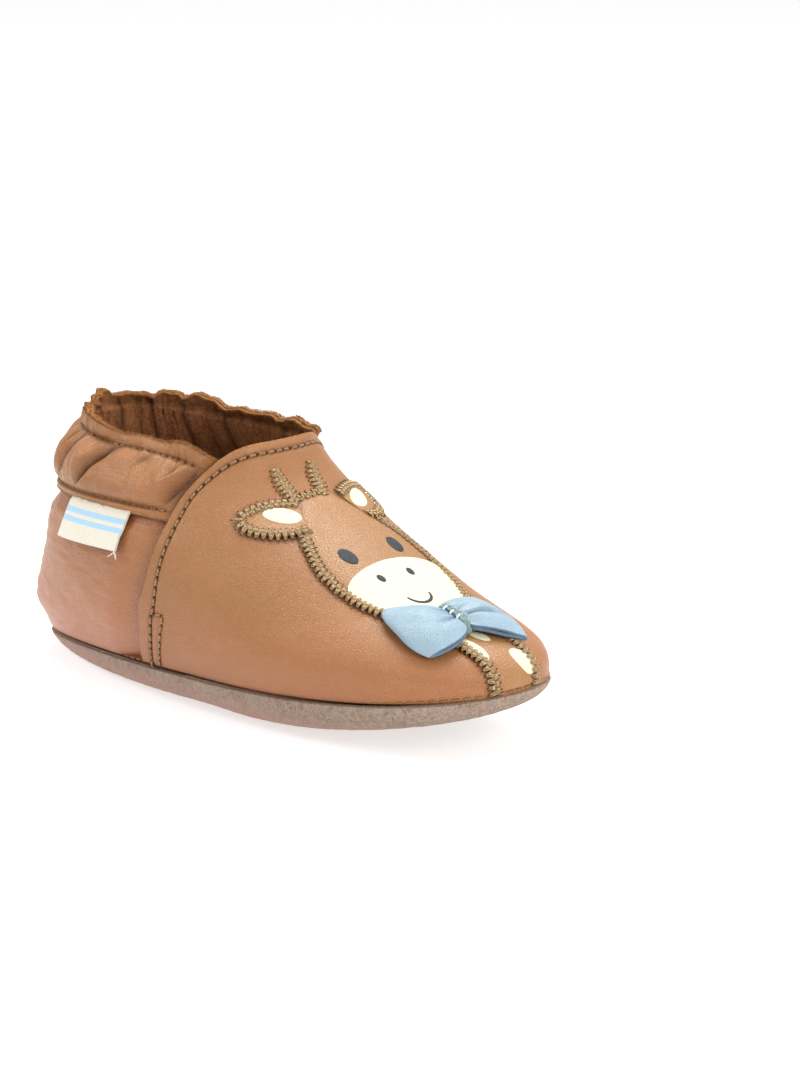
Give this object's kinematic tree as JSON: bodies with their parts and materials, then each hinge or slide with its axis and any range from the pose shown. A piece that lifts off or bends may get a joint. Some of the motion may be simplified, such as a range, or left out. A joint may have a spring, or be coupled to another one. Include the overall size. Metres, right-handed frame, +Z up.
{
  "type": "baby bootie",
  "caption": "Soft-soled leather baby bootie with a gathered elastic ankle collar, an animal-face applique and stitching on the vamp, a bow and a side label.",
  "frame": {"origin": "middle of the sole's flat underside, on the surface that the bootie stands on", "axes": "+X towards the toe, +Y towards the inner (medial) side of this right-foot bootie, +Z up"},
  "size_m": [0.137, 0.0588, 0.0575],
  "materials": {
    "tan_leather": "smooth full-grain leather, satin, fine pebble grain",
    "suede_sole": "taupe suede, matt",
    "suede_lining": "dark brown suede, matt",
    "foam": "foam pad",
    "elastic": "woven elastic",
    "seam_thread": "polyester thread",
    "brown_thread": "polyester thread, satin",
    "cream_film": "cream transfer film",
    "slate_film": "dark slate transfer film",
    "blue_leather": "soft light blue leather",
    "grey_thread": "thick grey-teal thread",
    "woven_label": "woven cream label with two blue stripes"
  },
  "bodies": {
    "shoe": {"outsole": "suede_sole", "insole_foam": "foam", "insole": "suede_lining", "collar_lining": "suede_lining", "vamp": "tan_leather", "quarter": "tan_leather", "collar": "tan_leather", "face": "tan_leather", "ear_medial": "tan_leather", "ear_lateral": "tan_leather", "elastic_band": "elastic", "sole_seam_thread": "seam_thread", "vamp_edge_thread": "brown_thread", "hem_thread": "brown_thread", "rim_thread": "brown_thread", "side_tack_medial": "brown_thread", "side_tack_lateral": "brown_thread", "face_satin_medial": "brown_thread", "face_satin_lateral": "brown_thread", "ear_satin_medial": "brown_thread", "ear_satin_lateral": "brown_thread", "horn_satin_medial": "brown_thread", "horn_satin_lateral": "brown_thread", "forehead_satin": "brown_thread", "muzzle": "cream_film", "inner_ear_medial": "cream_film", "inner_ear_lateral": "cream_film", "body_spot_1": "cream_film", "body_spot_2": "cream_film", "body_spot_3": "cream_film", "smile": "slate_film", "eye_medial": "slate_film", "eye_lateral": "slate_film", "nostril_medial": "slate_film", "nostril_lateral": "slate_film", "bow_knot": "blue_leather", "bow_tack": "grey_thread"},
    "label": {"label": "woven_label"},
    "bow_medial": {"bow_wing_medial": "blue_leather"},
    "bow_lateral": {"bow_wing_lateral": "blue_leather"}
  },
  "joints": [
    {"name": "label_flap", "type": "hinge", "parent": "shoe", "child": "label", "pos_m": [-0.02555, -0.02443, 0.03976], "axis": [-0.9955, 0.0926, -0.0191], "range_deg": [0, 95]},
    {"name": "bow_medial_lift", "type": "hinge", "parent": "shoe", "child": "bow_medial", "pos_m": [0.05557, -0.00013, 0.02695], "axis": [0.9573, -0.003, -0.2891], "range_deg": [0, 40]},
    {"name": "bow_lateral_lift", "type": "hinge", "parent": "shoe", "child": "bow_lateral", "pos_m": [0.05498, -0.00518, 0.02685], "axis": [-0.9554, 0.008, 0.2951], "range_deg": [0, 40]}
  ]
}
